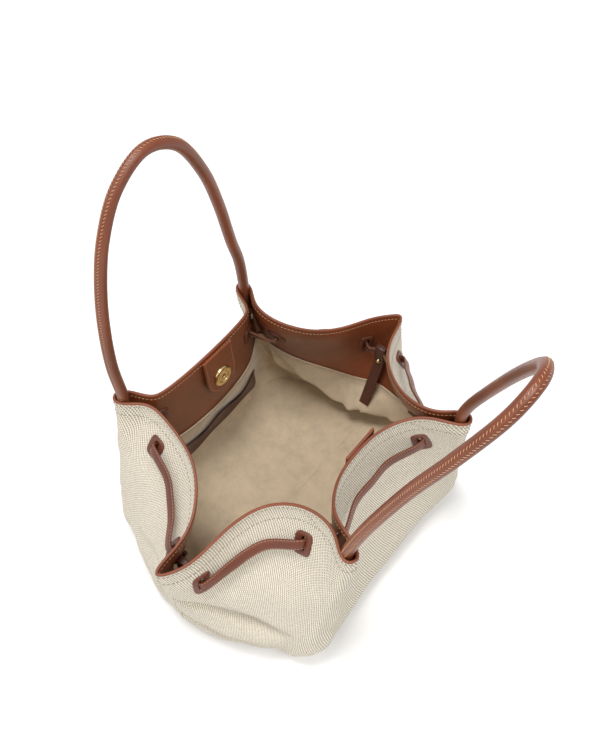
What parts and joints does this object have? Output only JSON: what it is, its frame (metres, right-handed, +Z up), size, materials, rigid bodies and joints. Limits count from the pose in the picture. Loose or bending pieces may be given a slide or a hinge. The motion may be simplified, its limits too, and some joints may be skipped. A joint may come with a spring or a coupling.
{
  "type": "bucket bag",
  "caption": "Open canvas bucket bag with leather facing, drawstring through slotted patches, rolled handles, magnetic snap tabs and cinch tabs at the side valleys.",
  "frame": {"origin": "underside of the base, at the centre of the bag's footprint", "axes": "+X along the two main walls, the front wall faces -Y, +Z up"},
  "size_m": [0.378, 0.362, 0.4405],
  "materials": {
    "canvas": "two-tone diagonal twill canvas",
    "board": "stiff bag board",
    "lining": "brushed microfibre",
    "facing_leather": "smooth cognac leather",
    "binding_leather": "cut edge, cognac",
    "trim_leather": "stitched cognac strap leather",
    "dark_leather": "dark brown leather",
    "handle_leather": "rolled cognac leather, cross stitched",
    "thread": "cotton thread and cord",
    "brass": "polished pale gold",
    "steel": "plated steel"
  },
  "bodies": {
    "bag": {"canvas_front_panel": "canvas", "canvas_back_panel": "canvas", "canvas_base_panel": "canvas", "base_board": "board", "lining_front_panel": "lining", "lining_back_panel": "lining", "facing_front_band": "facing_leather", "facing_back_band": "facing_leather", "front_rim_binding": "binding_leather", "back_rim_binding": "binding_leather", "front_slot_patches": "trim_leather", "back_slot_patches": "trim_leather", "front_inner_patches": "trim_leather", "back_inner_patches": "trim_leather", "drawstring": "trim_leather", "near_cinch_tab": "dark_leather", "far_cinch_tab": "dark_leather", "near_cinch_rivet": "brass", "far_cinch_rivet": "brass", "lining_top_piping": "lining", "slip_pocket": "dark_leather", "ear_bar_tacks": "thread", "back_handle_ends": "handle_leather", "front_handle_ends": "handle_leather"},
    "back_handle": {"back_handle_wrap": "handle_leather", "back_handle_core": "thread"},
    "front_handle": {"front_handle_wrap": "handle_leather", "front_handle_core": "thread"},
    "back_tab": {"back_snap_tab": "facing_leather", "back_snap_washer": "steel", "back_snap_socket": "brass"},
    "front_tab": {"front_snap_tab": "facing_leather", "front_snap_washer": "steel", "front_snap_stud": "brass"}
  },
  "joints": [
    {"name": "back_handle_swing", "type": "hinge", "parent": "bag", "child": "back_handle", "pos_m": [0, 0.133, 0.1965], "axis": [0.9999, 0, -0.017], "range_deg": [-58, 33]},
    {"name": "front_handle_swing", "type": "hinge", "parent": "bag", "child": "front_handle", "pos_m": [0, -0.133, 0.21], "axis": [0.9984, 0, -0.0567], "range_deg": [-50, 41]},
    {"name": "back_tab_flap", "type": "hinge", "parent": "bag", "child": "back_tab", "pos_m": [0.011, 0.10158, 0.1825], "axis": [-1, 0, 0], "range_deg": [0, 80]},
    {"name": "front_tab_flap", "type": "hinge", "parent": "bag", "child": "front_tab", "pos_m": [0.011, -0.07246, 0.191], "axis": [1, 0, 0], "range_deg": [0, 80]}
  ]
}
